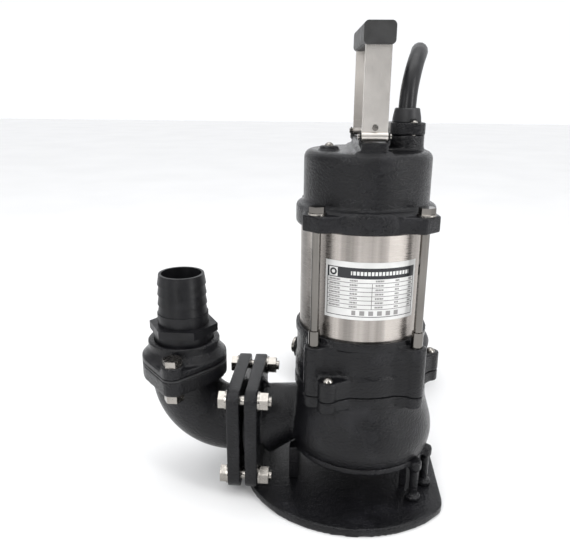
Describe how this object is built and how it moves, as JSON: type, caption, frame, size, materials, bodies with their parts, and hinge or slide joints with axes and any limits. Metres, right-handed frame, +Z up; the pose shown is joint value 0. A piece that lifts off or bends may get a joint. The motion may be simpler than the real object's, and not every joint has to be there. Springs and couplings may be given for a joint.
{
  "type": "submersible drainage pump",
  "caption": "Submersible pump with a steel motor shell, cast casing on a base plate, flanged side outlet with elbow and hose tail, carrying handle and power cable.",
  "frame": {"origin": "on the motor axis, at the underside of the base plate", "axes": "+Z up along the motor axis, the outlet towards -X, the front with the name label towards -Y"},
  "size_m": [0.3424, 0.4628, 0.458],
  "materials": {
    "black_casting": "gloss",
    "steel_shell": "brushed",
    "bright_steel": "satin",
    "label": "satin",
    "black_rubber": "matte",
    "black_plastic": "satin",
    "core_steel": "matte",
    "copper_winding": "satin",
    "aluminium": "satin",
    "pale_plastic": "matte",
    "carbon": "satin"
  },
  "bodies": {
    "pump": {"base_plate": "black_casting", "base_screws": "bright_steel", "suction_stand": "black_casting", "stand_screws": "bright_steel", "pump_casing": "black_casting", "casing_o_ring": "black_rubber", "oil_chamber": "black_casting", "oil_plug": "bright_steel", "casing_screws": "bright_steel", "seal_seat": "carbon", "lip_seal": "black_rubber", "lower_bearing_outer": "bright_steel", "upper_bearing_outer": "bright_steel", "bearing_balls": "bright_steel", "wave_washer": "bright_steel", "bearing_bracket": "aluminium", "motor_shell": "steel_shell", "shell_o_rings": "black_rubber", "stator_core": "core_steel", "stator_windings": "copper_winding", "name_label": "label", "top_cover": "black_casting", "tie_rods": "bright_steel", "tie_rod_washers": "bright_steel", "tie_rod_sleeves": "bright_steel", "capacitor": "pale_plastic", "vent_plug": "bright_steel", "handle_strap": "steel_shell", "handle_grip": "black_plastic", "handle_pins": "bright_steel", "handle_rivets": "bright_steel", "cable_seal": "black_rubber", "gland_plate": "black_casting", "gland_screws": "bright_steel", "cable_boot": "black_rubber", "cable_lead": "black_rubber", "cable_coil": "black_rubber", "coil_tie": "black_plastic", "cable_tail": "black_rubber", "power_plug": "black_plastic", "plug_pins": "bright_steel", "flange_gasket": "black_rubber", "discharge_elbow": "black_casting", "elbow_gasket": "black_rubber", "companion_flange": "black_casting", "hose_tail": "black_plastic", "flange_bolts": "bright_steel", "flange_nuts": "bright_steel", "companion_bolts": "bright_steel", "companion_nuts": "bright_steel"},
    "rotor": {"impeller": "black_casting", "impeller_nut": "bright_steel", "impeller_key": "bright_steel", "drive_shaft": "bright_steel", "seal_head": "bright_steel", "seal_spring": "bright_steel", "lower_bearing_inner": "bright_steel", "upper_bearing_inner": "bright_steel", "rotor_core": "core_steel", "rotor_end_rings": "aluminium"}
  },
  "joints": [
    {"name": "rotor_spin", "type": "hinge", "parent": "pump", "child": "rotor", "pos_m": [0, 0, 0.2], "axis": [0, 0, 1], "continuous": true}
  ]
}
